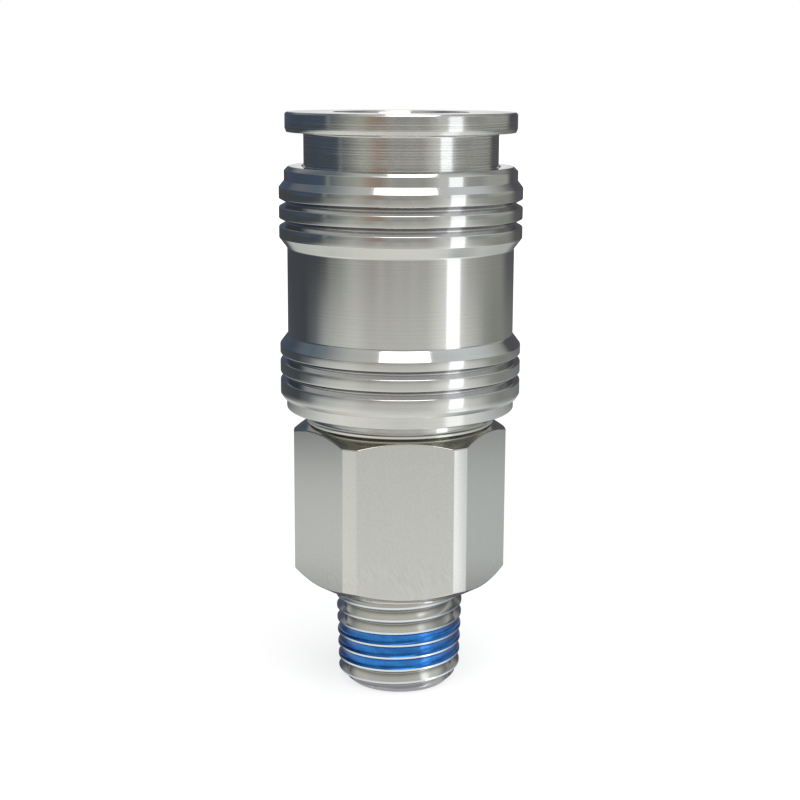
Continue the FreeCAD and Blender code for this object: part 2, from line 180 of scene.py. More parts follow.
def turnedFinish(name, look):
    finish, shade = newFinish(name)
    x, y, z = shade.position()
    stretch = turning["hairStretch"]
    radius = (x * x + y * y) ** 0.5
    along = (z + radius * turning["slant"]) / (look["linePitch"] * mm)
    feed = shade.node("ShaderNodeMath", {"operation": "SINE"}, {0: along * turn})
    lines = shade.noise(along, turning["lineScale"], turning["lineDetail"], turning["lineRough"], "1D")
    drift = shade.noise(shade.vector(x, y, z * turning["driftSquash"]), turning["driftScale"])
    hairs = shade.noise(shade.vector(x * stretch, y * stretch, z), turning["hairScale"])
    marks = lines * turning["lineTone"] + hairs * turning["hairTone"]
    rough = look["rough"] + (drift - 0.5) * look["roughDrift"] + (lines - 0.5) * look["roughLines"]
    height = lines * look["lineShare"] + feed * look["feedShare"] + hairs * look["hairShare"]
    shade.surface({
        "Base Color": shade.tone(shade.span(marks, turning["toneFrom"], turning["toneTo"]), look),
        "Metallic": 1.0,
        "Roughness": rough,
        "Normal": shade.bump(height, look["bump"], look["lineDepth"] * mm),
    })
    return finish


polished = turnedFinish("polished steel", {
    "pale": (0.62, 0.625, 0.60),
    "dark": (0.585, 0.59, 0.565),
    "rough": 0.09,
    "roughDrift": 0.03,
    "roughLines": 0.03,
    "linePitch": 0.27,
    "lineDepth": 0.004,
    "lineShare": 0.9,
    "feedShare": 0.0,
    "hairShare": 0.15,
    "bump": 0.22,
})

turned = turnedFinish("turned steel", {
    "pale": (0.66, 0.66, 0.635),
    "dark": (0.50, 0.50, 0.478),
    "rough": 0.10,
    "roughDrift": 0.03,
    "roughLines": 0.04,
    "linePitch": 0.28,
    "lineDepth": 0.014,
    "lineShare": 0.8,
    "feedShare": 0.2,
    "hairShare": 0.25,
    "bump": 0.7,
})

# groove steel: finer lines and its own roughness, and a darker colour that is painted shade in the grooves
shadedGroove = turnedFinish("groove steel", {
    "pale": (0.60, 0.60, 0.595),
    "dark": (0.51, 0.51, 0.51),
    "rough": 0.11,
    "roughDrift": 0.05,
    "roughLines": 0.05,
    "linePitch": 0.12,
    "lineDepth": 0.004,
    "lineShare": 0.9,
    "feedShare": 0.0,
    "hairShare": 0.2,
    "bump": 0.3,
})

# chamfer steel: rougher turned chamfers, and an olive-brown tint that is painted reflection of the shade
# under the sleeve
chamfered = turnedFinish("chamfer steel", {
    "pale": (0.62, 0.60, 0.54),
    "dark": (0.52, 0.50, 0.45),
    "rough": 0.16,
    "roughDrift": 0.08,
    "roughLines": 0.05,
    "linePitch": 0.2,
    "lineDepth": 0.006,
    "lineShare": 0.9,
    "feedShare": 0.0,
    "hairShare": 0.3,
    "bump": 0.4,
})


# Drawn bar of the hexagon, with grinding marks low on the flats

def hexFinish(look):
    finish, shade = newFinish("drawn hexagon steel")
    x, y, z = shade.position()
    across = look["strokeAcross"]
    up = look["strokeUp"]
    grain = shade.noise(shade.vector(x, y, z * look["grainStretch"]), look["grain"])
    cloud = shade.noise(shade.vector(x, y, z * look["cloudStretch"]), look["cloud"], look["cloudDetail"])
    slanted = shade.vector(x * across + z * up, y, (z * across - x * up) * look["strokeStretch"])
    strokes = shade.noise(slanted, look["strokes"], look["strokeDetail"])
    patches = shade.noise(shade.vector(x, y, z), look["patches"])
    ground = shade.span(patches, look["patchFrom"], look["patchTo"])
    ground = ground * shade.span(z, look["groundFrom"] * mm, look["groundTo"] * mm)
    specked = shade.vector(x, y, z * look["cloudStretch"])
    specks = shade.noise(specked, look["specks"], rough=look["speckRough"])
    marks = grain * look["grainTone"] + cloud * look["cloudTone"] + specks * look["speckTone"]
    marks = marks + (strokes - 0.5) * ground * look["strokeTone"]
    rough = look["rough"] + (grain - 0.5) * look["roughGrain"] + (cloud - 0.5) * look["roughCloud"]
    height = grain * look["grainShare"] + specks * look["speckShare"]
    height = height + strokes * ground * look["strokeShare"]
    shade.surface({
        "Base Color": shade.tone(shade.span(marks, look["toneFrom"], look["toneTo"]), look),
        "Metallic": 1.0,
        "Roughness": rough,
        "Normal": shade.bump(height, look["bump"], look["depth"] * mm),
    })
    return finish


drawn = hexFinish({
    "pale": (0.635, 0.64, 0.615),
    "dark": (0.58, 0.585, 0.56),
    "toneFrom": 0.3,
    "toneTo": 0.7,
    "rough": 0.24,
    "roughGrain": 0.05,
    "roughCloud": 0.06,
    "grain": 2600.0,
    "grainStretch": 0.03,
    "grainTone": 0.2,
    "grainShare": 0.14,
    "cloud": 160.0,
    "cloudStretch": 0.6,
    "cloudDetail": 3.0,
    "cloudTone": 0.2,
    "specks": 8200.0,
    "speckRough": 0.6,
    "speckTone": 0.6,
    "speckShare": 0.12,
    "strokes": 4600.0,
    "strokeDetail": 1.0,
    "strokeAcross": 0.92,  # the strokes lean by about 23 degrees
    "strokeUp": 0.39,
    "strokeStretch": 0.15,
    "strokeTone": 1.1,
    "strokeShare": 2.0,
    "patches": 260.0,
    "patchFrom": 0.48,
    "patchTo": 0.62,
    "groundFrom": 17.5,
    "groundTo": 13.5,
    "depth": 0.01,
    "bump": 0.25,
})


# Wire, balls and the thread

speckle = {"detail": 3.0, "rough": 0.6}
speckDepth = 0.002


def wireFinish(name, look):
    finish, shade = newFinish(name)
    x, y, z = shade.position()
    speck = shade.noise(shade.vector(x, y, z), look["speck"], **speckle)
    shade.surface({
        "Base Color": shade.tone(speck, look),
        "Metallic": 1.0,
        "Roughness": look["rough"] + (speck - 0.5) * look["roughSpeck"],
        "Normal": shade.bump(speck, look["bump"], speckDepth * mm),
    })
    return finish


springWire = wireFinish("spring wire", {
    "pale": (0.58, 0.57, 0.55),
    "dark": (0.44, 0.43, 0.42),
    "rough": 0.28,
    "roughSpeck": 0.14,
    "speck": 1800.0,
    "bump": 0.2,
})

ballSteel = wireFinish("ball steel", {
    "pale": (0.66, 0.66, 0.66),
    "dark": (0.62, 0.62, 0.62),
    "rough": 0.07,
    "roughSpeck": 0.05,
    "speck": 900.0,
    "bump": 0.03,
})

# painted highlight: the crests are paler and bluish to show the cool highlight along them
crestHighlight = wireFinish("thread crest steel", {
    "pale": (0.755, 0.825, 0.885),
    "dark": (0.675, 0.745, 0.805),
    "rough": 0.16,
    "roughSpeck": 0.06,
    "speck": 700.0,
    "bump": 0.05,
})

threadCone = {
    "radius": 6.63,  # of the crests, at the free end
    "taper": 1 / 32,
}


def threadFinish(look):
    finish, shade = newFinish("thread steel")
    x, y, z = shade.position()
    speck = shade.noise(shade.vector(x, y, z), look["speck"], **speckle)
    depth = threadCone["radius"] * mm + z * threadCone["taper"] - (x * x + y * y) ** 0.5
    grooves = shade.span(z, look["groovesFrom"] * mm, look["groovesTo"] * mm)
    deep = grooves * shade.span(depth, look["shadedRootFrom"] * mm, look["shadedRootTo"] * mm)  # painted shade: the roots are drawn darker
    shade.surface({
        "Base Color": shade.blend(deep, shade.tone(speck, look), (*look["root"], 1)),
        "Metallic": 1.0,
        "Roughness": look["rough"] + deep * look["rootRough"] + (speck - 0.5) * look["roughSpeck"],
    })
    return finish


threadSteel = threadFinish({
    "pale": (0.69, 0.69, 0.665),
    "dark": (0.64, 0.64, 0.615),
    # painted shade: darker colour for the thread roots
    "root": (0.47, 0.47, 0.455),
    "shadedRootFrom": 0.5,
    "shadedRootTo": 1.1,
    "rootRough": 0.12,
    "groovesFrom": 1.1,
    "groovesTo": 1.6,
    "rough": 0.13,
    "roughSpeck": 0.06,
    "speck": 700.0,
})


# Rubber of the seals, and the dried sealant on the thread

def rubberFinish(look):
    finish, shade = newFinish("seal rubber")
    x, y, z = shade.position()
    place = shade.vector(x, y, z)
    speck = shade.noise(place, look["speck"], look["speckDetail"], look["speckRough"])
    shade.surface({
        "Base Color": shade.tone(speck, look),
        "Roughness": look["rough"] + (speck - 0.5) * look["roughSpeck"],
        "Specular IOR Level": look["shine"],
        "Normal": shade.bump(speck, look["bump"], look["speckDepth"] * mm),
    })
    return finish


rubber = rubberFinish({
    "pale": (0.035, 0.035, 0.036),
    "dark": (0.014, 0.014, 0.015),
    "rough": 0.52,
    "roughSpeck": 0.2,
    "shine": 0.4,
    "speck": 2400.0,
    "speckDetail": 4.0,
    "speckRough": 0.65,
    "speckDepth": 0.01,
    "bump": 0.4,
})


def sealantFinish(look):
    finish, shade = newFinish("thread sealant")
    x, y, z = shade.position()
    smeared = shade.vector(x, y, z * look["smearSquash"])
    smear = shade.noise(smeared, look["smear"], look["smearDetail"], look["smearRough"])
    speck = shade.noise(shade.vector(x, y, z), look["speck"])
    marks = smear * look["smearTone"] + speck * look["speckTone"]
    height = smear * look["smearShare"] + speck * look["speckShare"]
    shade.surface({
        "Base Color": shade.tone(shade.span(marks, look["toneFrom"], look["toneTo"]), look),
        "Metallic": look["metal"],
        "Roughness": look["rough"] + (speck - 0.5) * look["roughSpeck"],
        "Specular IOR Level": look["shine"],
        "Coat Weight": look["coat"],
        "Coat Roughness": look["coatRough"],
        "Normal": shade.bump(height, look["bump"], look["depth"] * mm),
    })
    return finish


sealantBlue = sealantFinish({
    "pale": (0.018, 0.215, 0.660),
    "dark": (0.006, 0.108, 0.385),
    "toneFrom": 0.3,
    "toneTo": 0.72,
    "metal": 0.85,
    "rough": 0.20,
    "roughSpeck": 0.12,
    "shine": 0.35,
    "coat": 0.4,
    "coatRough": 0.05,
    "smear": 420.0,
    "smearSquash": 2.5,
    "smearDetail": 3.0,
    "smearRough": 0.55,
    "smearTone": 0.75,
    "smearShare": 0.7,
    "speck": 2600.0,
    "speckTone": 0.25,
    "speckShare": 0.3,
    "depth": 0.03,
    "bump": 0.3,
})
print("finishes made:", len(bpy.data.materials))


# Turned pieces: corners are (radius, height, edge round) in mm, taken round the section

rounding = {
    "leastBend": 0.02,  # radians; a flatter corner stays as it is
    "mostReach": 0.48,  # of the shorter side
    "degreesPerStep": 16,
}


def roundOff(corners):
    points = []
    for i, (radius, height, edge) in enumerate(corners):
        here = Vector((radius, height))
        before = Vector(corners[i - 1][:2]) - here
        after = Vector(corners[(i + 1) % len(corners)][:2]) - here
        bend = math.pi - before.angle(after)
        if edge <= 0 or bend < rounding["leastBend"]:
            points.append(here)
            continue
        most = rounding["mostReach"] * min(before.length, after.length)
        reach = min(edge * math.tan(bend / 2), most)
        start = here + before.normalized() * reach
        end = here + after.normalized() * reach
        middle = here + (before.normalized() + after.normalized()).normalized() * reach / math.sin(bend / 2)
        parts = max(2, math.ceil(bend / math.radians(rounding["degreesPerStep"])))
        first = start - middle
        way = 1 if first.x * (end - middle).y - first.y * (end - middle).x > 0 else -1
        for k in range(parts + 1):
            angle = way * bend * k / parts
            swung = Vector((
                first.x * math.cos(angle) - first.y * math.sin(angle),
                first.x * math.sin(angle) + first.y * math.cos(angle),
            ))
            points.append(middle + swung)
    return points


def aboutAxis(radius, a, height):
    return (radius * math.cos(a) * mm, radius * math.sin(a) * mm, height * mm)


def ringFaces(rings, size, closed=False):
    # quads between neighbouring rings of points; closed joins the last ring to the first
    faces = []
    for i in range(rings if closed else rings - 1):
        here = i * size
        there = (i + 1) % rings * size
        for k in range(size):
            m = (k + 1) % size
            faces.append((here + k, there + k, there + m, here + m))
    return faces


def spinUp(name, corners, steps):
    outline = roundOff(corners)
    points = [aboutAxis(p.x, turn * i / steps, p.y) for i in range(steps) for p in outline]
    return addPiece(name, points, ringFaces(steps, len(outline), closed=True))


weld = {
    "points": 0.0005,  # mm
    "slivers": 0.0002,
}


def addPiece(name, points, faces):
    mesh = bpy.data.meshes.new(name)
    mesh.from_pydata(points, [], faces)
    work = bmesh.new()
    work.from_mesh(mesh)
    bmesh.ops.remove_doubles(work, verts=work.verts, dist=weld["points"] * mm)
    bmesh.ops.dissolve_degenerate(work, edges=work.edges, dist=weld["slivers"] * mm)
    bmesh.ops.recalc_face_normals(work, faces=work.faces)
    work.to_mesh(mesh)
    work.free()
    piece = bpy.data.objects.new(name, mesh)
    bpy.context.scene.collection.objects.link(piece)
    return piece


def smoothOver(piece, sharpFrom):
    # edges that bend by more than sharpFrom degrees stay sharp
    piece.data.shade_smooth()
    piece.data.set_sharp_from_angle(angle=math.radians(sharpFrom))
    even = piece.modifiers.new("even normals", "WEIGHTED_NORMAL")
    even.keep_sharp = True
    even.weight = 100


def finishPiece(piece, finish, body, slot, *nodes):
    piece.data.materials.clear()
    piece.data.materials.append(finish)
    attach(piece, body)
    if nodes:
        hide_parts(*nodes)
    print("piece", piece.name, len(piece.data.polygons), "faces")


def frameSizes(node, bottom, top, radius):
    # ends and outer radius of a round node, under the names that a piece gives them
    low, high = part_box(node)
    sizes = (low.z, high.z, high.x)
    return {name: round(size / mm, 3) for name, size in zip((bottom, top, radius), sizes)}


# Release sleeve

sleeve = {
    **frameSizes("release_sleeve", "bottom", "top", "crest"),
    "guide": 7.65,
    "chamber": 10.299,
    "floor": 33.0,
    "land": 8.65,
    "landFoot": 51.27,
    "coneFoot": 46.647,
    "counterbore": 10.25,
    "counterboreFloor": 52.4,
    "waist": 11.969,
    "groove": 12.079,
    "grooveSide": 0.38,
    "ribLand": 1.15,
    "ribPitch": 2.03,
    "ribs": 3,
    "endRing": 12.149,
    "endRingTop": 31.85,
    "footEdge": 12.549,
    "footEdgeHeight": 31.95,
    "lowerBand": 32.64,
    "lowerDrop": 0.27,
    "waistFoot": 38.68,
    "waistHead": 47.79,
    "upperBand": 48.89,
    "collar": 12.249,
    "collarFoot": 54.80,
    "collarTop": 55.80,
    "topEdge": 11.799,
    "lead": 0.3,
    "bottomRound": 0.2,
    "waistRound": 0.35,
    "ribTopEdge": 0.17,
    "ribLowEdge": 0.08,
    "softEdge": 0.16,
    "plainEdge": 0.12,
    "innerEdge": 0.1,
    "leadEdge": 0.08,
    "fineEdge": 0.05,
    "footRound": 0.04,
    "shadeBelowCrest": 0.08,  # where the groove steel, darker as painted shade, starts and stops
    "shadeAtFloor": 0.02,
    "shadePastRibs": 0.1,
    "sharpFrom": 35,
    "steps": 256,
}


def bandTop(s, bottom):
    return bottom + s["ribPitch"] * (s["ribs"] - 1)


def ribCorners(s, bottom, drop):
    corners = [(s["crest"], bottom - drop, s["ribLowEdge"])]
    for rib in range(s["ribs"] - 1):
        low = bottom + s["ribPitch"] * rib + s["ribLand"]
        high = bottom + s["ribPitch"] * (rib + 1)
        corners.append((s["crest"], low, s["ribTopEdge"]))
        corners.append((s["groove"], low + s["grooveSide"], s["fineEdge"]))
        corners.append((s["groove"], high - s["grooveSide"], s["fineEdge"]))
        corners.append((s["crest"], high, s["ribLowEdge"]))
    corners.append((s["crest"], bandTop(s, bottom) + s["ribLand"] - drop, s["ribTopEdge"]))
    return corners


def inGroove(s, face):
    # faces of a groove between two ribs, short of the crests
    height = face.center.z / mm
    radius = face.center.xy.length / mm
    past = s["shadePastRibs"]
    if not s["groove"] - s["shadeAtFloor"] < radius < s["crest"] - s["shadeBelowCrest"]:
        return False
    for bottom in (s["lowerBand"], s["upperBand"]):
        if bottom + s["ribLand"] - past < height < bandTop(s, bottom) + past:
            return True
    return False


def makeSleeve(s):
    plain = s["plainEdge"]
    inner = s["innerEdge"]
    fine = s["fineEdge"]
    piece = spinUp("sleeve_shell", [
        (s["guide"], s["bottom"], plain),
        (s["endRing"], s["bottom"], s["bottomRound"]),
        (s["endRing"], s["endRingTop"], fine),
        (s["footEdge"], s["footEdgeHeight"], s["footRound"]),
        *ribCorners(s, s["lowerBand"], s["lowerDrop"]),
        (s["waist"], s["waistFoot"], s["waistRound"]),
        (s["waist"], s["waistHead"], s["waistRound"]),
        *ribCorners(s, s["upperBand"], 0),
        (s["collar"], s["collarFoot"], plain),
        (s["collar"], s["collarTop"], s["softEdge"]),
        (s["topEdge"], s["top"], s["softEdge"]),
        (s["counterbore"] + s["lead"], s["top"], s["leadEdge"]),
        (s["counterbore"], s["top"] - s["lead"], s["leadEdge"]),
        (s["counterbore"], s["counterboreFloor"], inner),
        (s["land"], s["counterboreFloor"], fine),
        (s["land"], s["landFoot"], fine),
        (s["chamber"], s["coneFoot"], inner),
        (s["chamber"], s["floor"], s["bottomRound"]),
        (s["guide"], s["floor"], inner),
    ], s["steps"])
    smoothOver(piece, s["sharpFrom"])
    finishPiece(piece, polished, "sleeve", "turned_steel", "release_sleeve")
    # the grooves between the ribs take the darker groove steel, painted shade
    piece.data.materials.append(shadedGroove)
    for face in piece.data.polygons:
        if inGroove(s, face):
            face.material_index = 1


makeSleeve(sleeve)


# Barrel, with the ball holes cut through its tube

barrel = {
    **frameSizes("socket_body", "spigotEnd", "nose", "flange"),
    "spigot": 7.0,
    "spigotChamfer": 0.5,
    "ringTop": sleeve["bottom"],
    "lowerTube": 7.6,
    "shoulder": 46.595,
    "ballTube": 8.6,
    "neckFoot": 55.6,
    "neck": 10.2,
    "neckFillet": 0.3,
    "flangeFoot": 59.75,
    "flangeChamfer": 0.2,
    "flangeEdge": 0.06,
    "bevelWidth": 0.16,
    "bevelHeight": 0.4,
    "mouth": 6.3,
    "mouthLead": 0.9,
    "mouthEnd": 53.6,
    "mouthStep": 0.2,
    "mouthStepEdge": 0.03,
    "bore": 6.1,
    "plugStop": 45.0,
    "plugCone": 1.0,
    "tip": 4.1,
    "grooveTop": 43.0,
    "grooveFoot": 40.9,
    "sealGroove": 5.9,
    "seat": 39.6,
    "seatFoot": 38.2,
    "chamber": 5.8,
    "plainEdge": 0.12,
    "innerEdge": 0.1,
    "grooveEdge": 0.08,
    "fineEdge": 0.05,
    "ballHeight": 49.799,
    "balls": 6,
    "hole": 2.0345,
    "holeMouth": 1.5207,
    "holeIn": 5.03,
    "holeBend": 6.7105,
    "holeOut": 10.2,
    "holeSides": 48,
    "sharpFrom": 30,
    "steps": 240,
}


def cutBallHoles(piece, s):
    rings = [(s["holeMouth"], s["holeIn"]), (s["hole"], s["holeBend"]), (s["hole"], s["holeOut"])]
    sides = s["holeSides"]
    points = []
    faces = []
    for ball in range(s["balls"]):
        base = len(points)
        a = turn * ball / s["balls"]
        place = Matrix.Translation((0, 0, s["ballHeight"] * mm)) @ Matrix.Rotation(a, 4, "Z")
        for radius, out in rings:
            for i in range(sides):
                b = turn * i / sides
                spot = Vector((out * mm, radius * math.cos(b) * mm, radius * math.sin(b) * mm))
                points.append(place @ spot)
        for ring in range(len(rings) - 1):
            low = base + ring * sides
            for i in range(sides):
                n = (i + 1) % sides
                faces.append((low + i, low + n, low + sides + n, low + sides + i))
        faces.append([base + i for i in reversed(range(sides))])
        faces.append([base + (len(rings) - 1) * sides + i for i in range(sides)])
    cutter = addPiece("ball_hole_cutter", points, faces)
    cut = piece.modifiers.new("ball holes", "BOOLEAN")
    cut.operation = "DIFFERENCE"
    cut.solver = "EXACT"
    cut.object = cutter
    bpy.context.view_layer.update()
    graph = bpy.context.evaluated_depsgraph_get()
    result = bpy.data.meshes.new_from_object(piece.evaluated_get(graph))
    piece.modifiers.clear()
    piece.data = result
    bpy.data.objects.remove(cutter)


def makeBarrel(s):
    chamfer = s["flangeChamfer"]
    edge = s["flangeEdge"]
    plain = s["plainEdge"]
    inner = s["innerEdge"]
    groove = s["grooveEdge"]
    fine = s["fineEdge"]
    piece = spinUp("barrel_shell", [
        (s["chamber"], s["spigotEnd"], groove),
        (s["spigot"] - s["spigotChamfer"], s["spigotEnd"], fine),
        (s["spigot"], s["spigotEnd"] + s["spigotChamfer"], fine),
        (s["spigot"], s["ringTop"], 0),
        (s["lowerTube"], s["ringTop"], fine),
        (s["lowerTube"], s["shoulder"], 0),
        (s["ballTube"], s["shoulder"], groove),
        (s["ballTube"], s["neckFoot"], fine),
        (s["neck"], s["neckFoot"], plain),
        (s["neck"], s["flangeFoot"], s["neckFillet"]),
        (s["flange"] - s["bevelWidth"], s["flangeFoot"], edge),
        (s["flange"], s["flangeFoot"] + s["bevelHeight"], edge),
        (s["flange"], s["nose"] - chamfer, edge),
        (s["flange"] - chamfer, s["nose"], edge),
        (s["mouth"] + s["mouthLead"], s["nose"], plain),
        (s["mouth"], s["nose"] - s["mouthLead"], plain),
        (s["mouth"], s["mouthEnd"], s["mouthStepEdge"]),
        (s["bore"], s["mouthEnd"] - s["mouthStep"], s["mouthStepEdge"]),
        (s["bore"], s["plugStop"], inner),
        (s["tip"], s["plugStop"] - s["plugCone"], inner),
        (s["tip"], s["grooveTop"], groove),
        (s["sealGroove"], s["grooveTop"], fine),
        (s["sealGroove"], s["grooveFoot"], fine),
        (s["tip"], s["grooveFoot"], groove),
        (s["tip"], s["seat"], fine),
        (s["chamber"], s["seatFoot"], fine),
    ], s["steps"])
    cutBallHoles(piece, s)
    smoothOver(piece, s["sharpFrom"])
    finishPiece(piece, turned, "barrel", "turned_steel", "socket_body")


makeBarrel(barrel)


# Stop ring

stopRing = {
    **frameSizes("stop_ring", "bottom", "top", "lip"),
    "inner": 7.05,
    "lipTop": 29.44,
    "cove": 0.3,
    "coveSteps": 6,
    "edge": 0.08,
    "edgeRound": 0.02,
    "topRound": 0.06,
    "sharpFrom": 35,
    "steps": 200,
}


def makeStopRing(s):
    cove = []
    for k in range(s["coveSteps"] + 1):
        a = math.radians(90 * k / s["coveSteps"])
        cove.append((s["lip"] - s["cove"] * math.sin(a), s["lipTop"] + s["cove"] * (1 - math.cos(a)), 0))
    piece = spinUp("stop_collar", [
        (s["inner"], s["bottom"], s["edge"]),
        (s["lip"] - s["edge"], s["bottom"], s["edgeRound"]),
        (s["lip"], s["bottom"] + s["edge"], s["edgeRound"]),
        *cove,
        (s["lip"] - s["cove"], s["top"], s["topRound"]),
        (s["inner"], s["top"], s["edge"]),
    ], s["steps"])
    smoothOver(piece, s["sharpFrom"])
    finishPiece(piece, polished, "barrel", "turned_steel", "stop_ring")


makeStopRing(stopRing)


# Adapter: hexagon, taper thread and air way in one skin

adapter = {
    "acrossFlats": 20.64,
    "turnedCorners": 11.46,
    "faceRadius": 9.6,
    "footRadius": 9.0,
    "chamferAngle": 30,
    "hexBottom": 11.3,
    "hexTop": stopRing["bottom"],
    "socket": 7.03,
    "socketLead": 0.35,
    "socketFloor": 22.0,
    "inlet": 4.0,
    "inletChamfer": 0.4,
    "endChamferWidth": 1.15,
    "endChamferHeight": 1.2,
    "pitch": 25.4 / 18,
    "crest": 0.20,
    "root": 0.05,
    "flankAngle": 30,
    "flankSteps": 8,
    "lapsBelow": 2,  # so that the thread starts under the end face at every bearing
    "firstCrest": 0.4435,  # height of a crest at the +X side
    "fadeFrom": 9.5,
    "fadeTo": 10.9,
    "edge": 0.07,
    "edgeFrom": 14,  # degrees of bend that are rounded
    "edgeSegments": 2,
    "socketClear": 0.5,  # no rounds this near to the socket
    "columns": 288,
    "leastColumn": 0.0005,  # radians
    "sharpFrom": 32,
    "footMargin": 0.02,
    "chamferReach": 0.5,  # inwards from the foot's radius
    "chamferTilt": (0.5, 0.98),  # upright part of a chamfer's normal
    "crestBand": 0.03,
    "crestTilt": 0.2,
}


def flankRise(s):
    return (s["pitch"] - s["crest"] - s["root"]) / 2


def threadDepth(s, rise):
    # depth below the crest line at a rise above a crest, within one pitch
    off = min(rise, s["pitch"] - rise) - s["crest"] / 2
    return min(max(off, 0), flankRise(s)) / math.tan(math.radians(s["flankAngle"]))


def crestLine(height):
    return threadCone["radius"] + height * threadCone["taper"]


def threadRadius(s, height, depth):
    fade = min(max((s["fadeTo"] - height) / (s["fadeTo"] - s["fadeFrom"]), 0), 1)
    chamfer = threadCone["radius"] - s["endChamferWidth"]
    chamfer += height * (s["endChamferWidth"] / s["endChamferHeight"] + threadCone["taper"])
    return min(crestLine(height) - depth * fade, chamfer)


def threadRises(s):
    half = s["crest"] / 2
    count = s["flankSteps"]
    steps = [half + flankRise(s) * k / count for k in range(1, count + 1)]
    rises = [-half, 0, half]
    rises += steps
    rises += [s["pitch"] / 2]
    rises += [s["pitch"] - step for step in reversed(steps)]
    return rises


def threadSection(s, a):
    # from below the end face to above the hexagon's foot, held between the two
    lift = s["firstCrest"] + s["pitch"] * (a / turn - s["lapsBelow"])
    laps = math.ceil(s["hexBottom"] / s["pitch"]) + s["lapsBelow"] + 1
    section = []
    for lap in range(laps):
        for rise in threadRises(s):
            height = min(max(lift + s["pitch"] * lap + rise, 0), s["hexBottom"])
            section.append((threadRadius(s, height, threadDepth(s, rise % s["pitch"])), height))
    return section


def plainSection(s, a):
    # hexagon, socket for the barrel and air way at one bearing; corners lie at 0, 60, 120 degrees
    corner = (a + math.radians(30)) % math.radians(60) - math.radians(30)
    offFlat = abs(math.radians(30) - abs(corner))
    outer = min(s["acrossFlats"] / 2 / math.cos(offFlat), s["turnedCorners"])
    slope = math.tan(math.radians(s["chamferAngle"]))
    return [
        (s["footRadius"], s["hexBottom"]),
        (outer, s["hexBottom"] + (outer - s["footRadius"]) * slope),
        (outer, s["hexTop"] - (outer - s["faceRadius"]) * slope),
        (s["faceRadius"], s["hexTop"]),
        (s["socket"] + s["socketLead"], s["hexTop"]),
        (s["socket"], s["hexTop"] - s["socketLead"]),
        (s["socket"], s["socketFloor"]),
        (s["inlet"], s["socketFloor"]),
        (s["inlet"], s["inletChamfer"]),
        (s["inlet"] + s["inletChamfer"], 0),
    ]


def columnBearings(s):
    # even columns, and one at each edge where a flat meets the turned corner
    lean = math.acos(s["acrossFlats"] / 2 / s["turnedCorners"])
    bearings = [turn * i / s["columns"] for i in range(s["columns"])]
    for side in range(6):
        middle = math.radians(30 + 60 * side)
        bearings += [(middle - lean) % turn, (middle + lean) % turn]
    bearings = sorted(bearings)
    return [a for i, a in enumerate(bearings) if i == 0 or a - bearings[i - 1] > s["leastColumn"]]


def makeAdapter(s):
    points = []
    faces = []
    columns = []
    for a in columnBearings(s):
        thread = threadSection(s, a)
        plain = plainSection(s, a)
        columns.append(len(points))
        points += [aboutAxis(radius, a, height) for radius, height in thread + plain]
    ring = [*range(len(thread) - 1, len(thread) + len(plain)), 0]
    for here, there in zip(columns, columns[1:] + columns[:1]):
        climb = 0 if there else len(threadRises(s))  # the last column meets the first one lap on
        for k in range(len(thread) - 1 - climb):
            faces.append((here + k, there + k + climb, there + k + 1 + climb, here + k + 1))
        for k, m in zip(ring, ring[1:]):
            faces.append((here + k, there + k, there + m, here + m))
    piece = addPiece("adapter_skin", points, faces)
    edgeRound(piece, s)
    smoothOver(piece, s["sharpFrom"])
    finishPiece(piece, drawn, "barrel", "hex_steel", "adapter")
    for finish in (threadSteel, chamfered, crestHighlight):
        piece.data.materials.append(finish)
    for face in piece.data.polygons:
        face.material_index = adapterFinish(s, face)


def adapterFinish(s, face):
    # 0 hexagon and bores, 1 thread, 2 chamfers, 3 crests of the thread
    radius = face.center.xy.length / mm
    height = face.center.z / mm
    tilt = abs(face.normal.z)
    if height > s["hexBottom"] - s["footMargin"]:
        low, high = s["chamferTilt"]
        # chamfer faces take the chamfer steel, whose tint is painted reflection
        return 2 if radius > s["footRadius"] - s["chamferReach"] and low < tilt < high else 0
    onThread = s["endChamferHeight"] < height < s["fadeTo"]
    # crest faces take the paler steel, a painted highlight
    if onThread and radius > crestLine(height) - s["crestBand"] and tilt < s["crestTilt"]:
        return 3
    return 1


def edgeRound(piece, s):
    # fine rounds on the hexagon's edges, not on the thread
    foot = (s["hexBottom"] - s["footMargin"]) * mm
    inside = (s["socket"] + s["socketClear"]) * mm
    work = bmesh.new()
    work.from_mesh(piece.data)
    weight = work.edges.layers.float.new("bevel_weight_edge")
    for edge in work.edges:
        low = min(corner.co.z for corner in edge.verts)
        far = min(corner.co.xy.length for corner in edge.verts)
        sharp = edge.is_manifold and edge.calc_face_angle(0) > math.radians(s["edgeFrom"])
        if sharp and low > foot and far > inside:
            edge[weight] = 1.0
    work.to_mesh(piece.data)
    work.free()
    soften = piece.modifiers.new("edge rounds", "BEVEL")
    soften.limit_method = "WEIGHT"
    soften.width = s["edge"] * mm
    soften.segments = s["edgeSegments"]
    soften.harden_normals = False


makeAdapter(adapter)


# Sealant: three turns of coating that fill the grooves almost to the crests

sealant = {
    "start": 66.7,  # degrees from +X, at the back
    "turns": 3.08,
    "fromCrest": 2.195,  # height; the nearest crest counts
    "crestGap": 0.015,
    "sag": 0.22,
    "sagPower": 0.7,
    "waves": ((0.35, 3.1, 0.7), (0.25, 7.3, 2.0)),  # height, waves per turn, phase
    "waveShare": 0.3,
    "below": 0.02,
    "offSteel": 0.012,
    "keelWidth": 0.12,
    "keelDepth": 0.05,
    "tip": 0.05,  # share of the width that is left at both ends
    "taperDegrees": 50,
    "stepsPerTurn": 120,
    "across": 12,
    "sharpFrom": 50,
}


